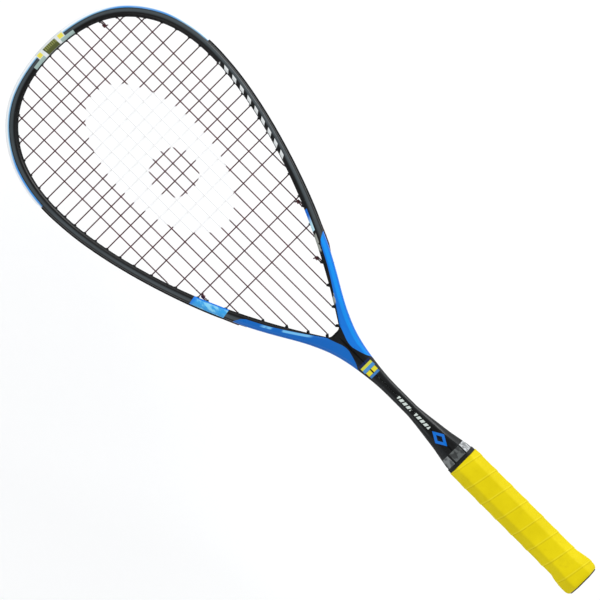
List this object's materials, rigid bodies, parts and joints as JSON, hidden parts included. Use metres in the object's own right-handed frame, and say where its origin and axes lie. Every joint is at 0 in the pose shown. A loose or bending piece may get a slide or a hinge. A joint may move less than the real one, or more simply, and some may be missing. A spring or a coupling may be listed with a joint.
{
  "type": "squash racket",
  "caption": "Strung squash racket: hollow carbon teardrop hoop with an open V throat, bumper guard and grommet strips, woven strings, and an octagonal handle with a wound cushion grip",
  "frame": {"origin": "centre of the flat end face of the butt cap", "axes": "+Y from the butt to the tip along the handle, +Z normal to the string plane, +X to the right with the head up; the string plane is z = 0"},
  "size_m": [0.2168, 0.686, 0.033],
  "materials": {
    "frame_lacquer": "satin black lacquer over moulded carbon, with bright blue arms and plain white and grey bars",
    "bumper_nylon": "moulded nylon fading from light blue to white",
    "grommet_nylon": "moulded black nylon",
    "string_nylon": "dark maroon multifilament string with a plain white painted ring",
    "pallet_foam": "rigid polyurethane foam",
    "cap_plastic": "moulded black plastic",
    "staple_steel": "zinc-plated wire",
    "grip_rubber": "yellow polyurethane cushion grip, smooth and slightly tacky",
    "collar_rubber": "black rubber ring"
  },
  "bodies": {
    "root": {"frame": "frame_lacquer", "bumper_guard": "bumper_nylon", "grommet_strip_left": "grommet_nylon", "grommet_strip_right": "grommet_nylon", "throat_grommet_left_1": "grommet_nylon", "throat_grommet_left_2": "grommet_nylon", "throat_grommet_left_3": "grommet_nylon", "throat_grommet_left_4": "grommet_nylon", "throat_grommet_right_1": "grommet_nylon", "throat_grommet_right_2": "grommet_nylon", "throat_grommet_right_3": "grommet_nylon", "throat_grommet_right_4": "grommet_nylon", "main_string": "string_nylon", "cross_string": "string_nylon", "handle_pallet_front": "pallet_foam", "handle_pallet_back": "pallet_foam", "tail_end_plugs": "pallet_foam", "butt_cap": "cap_plastic", "butt_cap_staples": "staple_steel", "butt_cap_disc": "cap_plastic", "grip_wrap": "grip_rubber", "grip_collar": "collar_rubber"}
  },
  "joints": []
}
